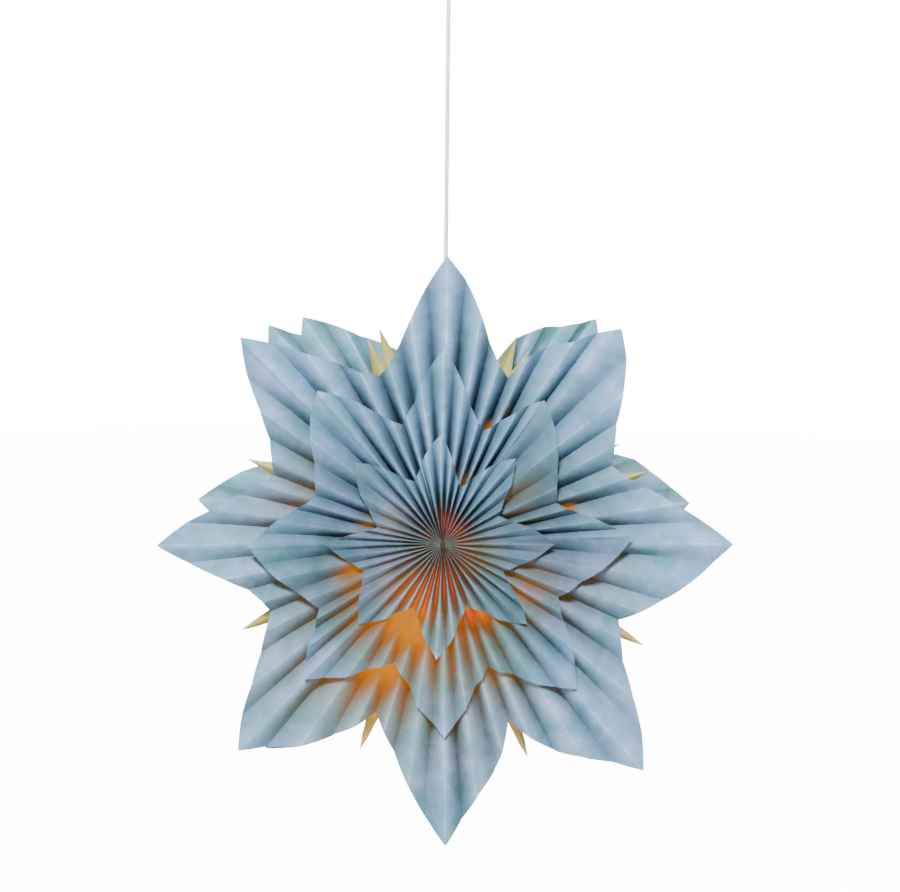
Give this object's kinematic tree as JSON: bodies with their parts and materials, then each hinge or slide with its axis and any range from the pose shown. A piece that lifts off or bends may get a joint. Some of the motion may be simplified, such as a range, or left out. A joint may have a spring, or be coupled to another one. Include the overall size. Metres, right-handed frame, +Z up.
{
  "type": "hanging paper snowflake star lantern",
  "caption": "Hanging eight-pointed lantern of nested pleated paper stars, with a lamp holder and bulb inside, on a cord from a ceiling cup.",
  "frame": {"origin": "middle of the ceiling plate's upper face, where the lantern is screwed to a ceiling", "axes": "+Z up, the lantern hangs along -Z, its show side looks to -Y, +X to the right of a viewer in front"},
  "size_m": [0.8, 0.3104, 1.215],
  "materials": {
    "pleated_paper": "matt translucent grey-blue craft paper, pleated",
    "cream_paper": "matt translucent cream paper, folded",
    "card_sleeve": "rolled card",
    "cap_plastic": "matt",
    "spreader_wire": "white painted steel wire",
    "holder_plastic": "white moulded plastic, satin",
    "insert_ceramic": "glazed white",
    "brass_parts": "plain brass",
    "bulb_cap_metal": "bright rolled thread",
    "bulb_glass": "opal warm white glass",
    "bulb_stem": "matt",
    "cord_sheath": "round flexible sheath, pale grey",
    "cup_plastic": "satin moulded plastic",
    "washer_nylon": "nylon",
    "plate_steel": "zinc plated",
    "screw_steel": "zinc plated",
    "terminal_plastic": "moulded",
    "lead_sheath": "insulated core"
  },
  "bodies": {
    "root": {"ceiling_plate": "plate_steel", "ceiling_cup": "cup_plastic", "cup_screws": "screw_steel", "terminal_block": "terminal_plastic", "lead_wires": "lead_sheath"},
    "swing_link": {"swing_ring": "washer_nylon"},
    "pendant": {"cord": "cord_sheath", "cord_ball": "cup_plastic"},
    "bulb": {"bulb_screw_cap": "bulb_cap_metal", "bulb_glass": "bulb_glass", "bulb_stem": "bulb_stem"},
    "star": {"back_closing_petal": "pleated_paper", "back_hub_sleeve": "card_sleeve", "back_large_star": "pleated_paper", "back_medium_star": "pleated_paper", "back_rod_cap": "cap_plastic", "back_small_star": "pleated_paper", "centre_contact": "brass_parts", "cord_gland": "holder_plastic", "front_closing_petal": "pleated_paper", "front_hub_sleeve": "card_sleeve", "front_large_star": "pleated_paper", "front_medium_star": "pleated_paper", "front_rod_cap": "cap_plastic", "front_small_star": "pleated_paper", "holder_cap": "holder_plastic", "holder_insert": "insert_ceramic", "holder_screw_shell": "brass_parts", "holder_skirt": "holder_plastic", "shade_ring": "holder_plastic", "side_strip_left_lower": "cream_paper", "side_strip_left_upper": "cream_paper", "side_strip_lower_left": "cream_paper", "side_strip_lower_right": "cream_paper", "side_strip_right_lower": "cream_paper", "side_strip_right_upper": "cream_paper", "side_strip_upper_left": "cream_paper", "side_strip_upper_right": "cream_paper", "spreader_frame": "spreader_wire", "terminal_screws": "brass_parts"}
  },
  "joints": [
    {"name": "swing_fore_aft", "type": "hinge", "parent": "root", "child": "swing_link", "pos_m": [0, 0, -0.04], "axis": [1, 0, 0], "range_deg": [-10, 10]},
    {"name": "swing_sideways", "type": "hinge", "parent": "swing_link", "child": "pendant", "pos_m": [0, 0, -0.04], "axis": [0, 1, 0], "range_deg": [-10, 10]},
    {"name": "turn_on_cord", "type": "hinge", "parent": "pendant", "child": "star", "pos_m": [0, 0, -0.795], "axis": [0, 0, 1], "range_deg": [-180, 180]},
    {"name": "bulb_withdraw", "type": "slide", "parent": "star", "child": "bulb", "axis": [0, 0, -1], "range_m": [0, 0.03]}
  ]
}
